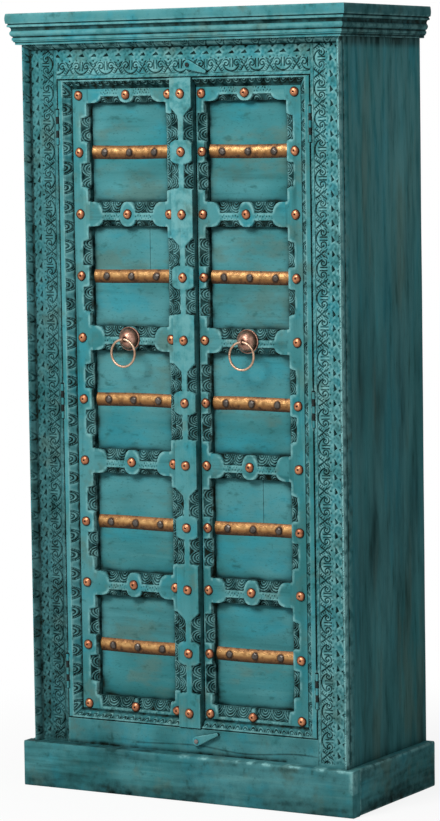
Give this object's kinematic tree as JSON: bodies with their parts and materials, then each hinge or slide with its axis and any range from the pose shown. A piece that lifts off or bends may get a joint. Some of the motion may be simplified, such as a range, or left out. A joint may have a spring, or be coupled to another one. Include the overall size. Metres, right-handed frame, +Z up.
{
  "type": "tall two-door cabinet",
  "caption": "Tall painted almirah cabinet with carved front frame, stepped cornice, plain plinth and a pair of studded panelled doors with brass strips and ring pulls; shelves inside.",
  "frame": {"origin": "on the floor under the middle of the cabinet's bounding box", "axes": "+Z up, -Y out of the front, +X to the right of someone facing the doors"},
  "size_m": [0.885, 0.422, 1.8],
  "materials": {
    "painted_wood": "hand-rubbed turquoise paint over carved hardwood, dark glaze in the recesses and worn arrises",
    "inner_wood": "plain turquoise paint, thinner and darker than outside",
    "brass_strip": "aged brass sheet",
    "iron_nail": "dark hand-forged nail heads",
    "copper_stud": "polished copper-coloured domes, dull at the rim",
    "aged_brass": "antique brass, brown in the hollows",
    "dark_iron": "blackened steel, paint-splashed"
  },
  "bodies": {
    "carcase": {"left_side_panel": "painted_wood", "right_side_panel": "painted_wood", "back_boards": "inner_wood", "bottom_board": "inner_wood", "ceiling_board": "inner_wood", "lower_shelf": "inner_wood", "middle_shelf": "inner_wood", "upper_shelf": "inner_wood", "shelf_cleats": "inner_wood", "plinth_front": "painted_wood", "plinth_left": "painted_wood", "plinth_right": "painted_wood", "plinth_back": "inner_wood", "plinth_blocks": "inner_wood", "cornice_front": "painted_wood", "cornice_left": "painted_wood", "cornice_right": "painted_wood", "cap_boards": "painted_wood", "left_frame_stile": "painted_wood", "right_frame_stile": "painted_wood", "top_frame_rail": "painted_wood", "bottom_frame_rail": "painted_wood", "left_border": "painted_wood", "right_border": "painted_wood", "top_border": "painted_wood", "left_hinge_frame_leaves": "dark_iron", "right_hinge_frame_leaves": "dark_iron", "left_hinge_pins": "dark_iron", "right_hinge_pins": "dark_iron", "top_button_screw": "dark_iron", "bottom_button_screw": "dark_iron"},
    "left_door": {"left_door_hinge_stile": "painted_wood", "left_door_meeting_stile": "painted_wood", "left_door_top_rail": "painted_wood", "left_door_bottom_rail": "painted_wood", "left_door_cross_rails": "painted_wood", "left_door_panels": "painted_wood", "left_door_border": "painted_wood", "left_door_brass_strips": "brass_strip", "left_door_strip_nails": "iron_nail", "left_door_studs": "copper_stud", "left_rosette": "aged_brass", "left_hinge_door_leaves": "dark_iron", "astragal": "painted_wood"},
    "right_door": {"right_door_hinge_stile": "painted_wood", "right_door_meeting_stile": "painted_wood", "right_door_top_rail": "painted_wood", "right_door_bottom_rail": "painted_wood", "right_door_cross_rails": "painted_wood", "right_door_panels": "painted_wood", "right_door_border": "painted_wood", "right_door_brass_strips": "brass_strip", "right_door_strip_nails": "iron_nail", "right_door_studs": "copper_stud", "right_rosette": "aged_brass", "right_hinge_door_leaves": "dark_iron"},
    "left_ring": {"left_ring": "aged_brass"},
    "right_ring": {"right_ring": "aged_brass"},
    "top_turn_button": {"top_turn_button": "painted_wood"},
    "bottom_turn_button": {"bottom_turn_button": "painted_wood"}
  },
  "joints": [
    {"name": "left_door_hinge", "type": "hinge", "parent": "carcase", "child": "left_door", "pos_m": [-0.331, -0.166, 0.9], "axis": [0, 0, -1], "range_deg": [0, 120]},
    {"name": "right_door_hinge", "type": "hinge", "parent": "carcase", "child": "right_door", "pos_m": [0.331, -0.166, 0.9], "axis": [0, 0, 1], "range_deg": [0, 120]},
    {"name": "left_ring_swing", "type": "hinge", "parent": "left_door", "child": "left_ring", "pos_m": [-0.156, -0.179, 1.053], "axis": [-1, 0, 0], "range_deg": [0, 100]},
    {"name": "right_ring_swing", "type": "hinge", "parent": "right_door", "child": "right_ring", "pos_m": [0.156, -0.179, 1.053], "axis": [-1, 0, 0], "range_deg": [0, 100]},
    {"name": "top_button_turn", "type": "hinge", "parent": "carcase", "child": "top_turn_button", "pos_m": [0.023, -0.17, 1.674], "axis": [0, -1, 0], "range_deg": [0, 60]},
    {"name": "bottom_button_turn", "type": "hinge", "parent": "carcase", "child": "bottom_turn_button", "pos_m": [0.02, -0.17, 0.136], "axis": [0, -1, 0], "range_deg": [-28, 0]}
  ]
}
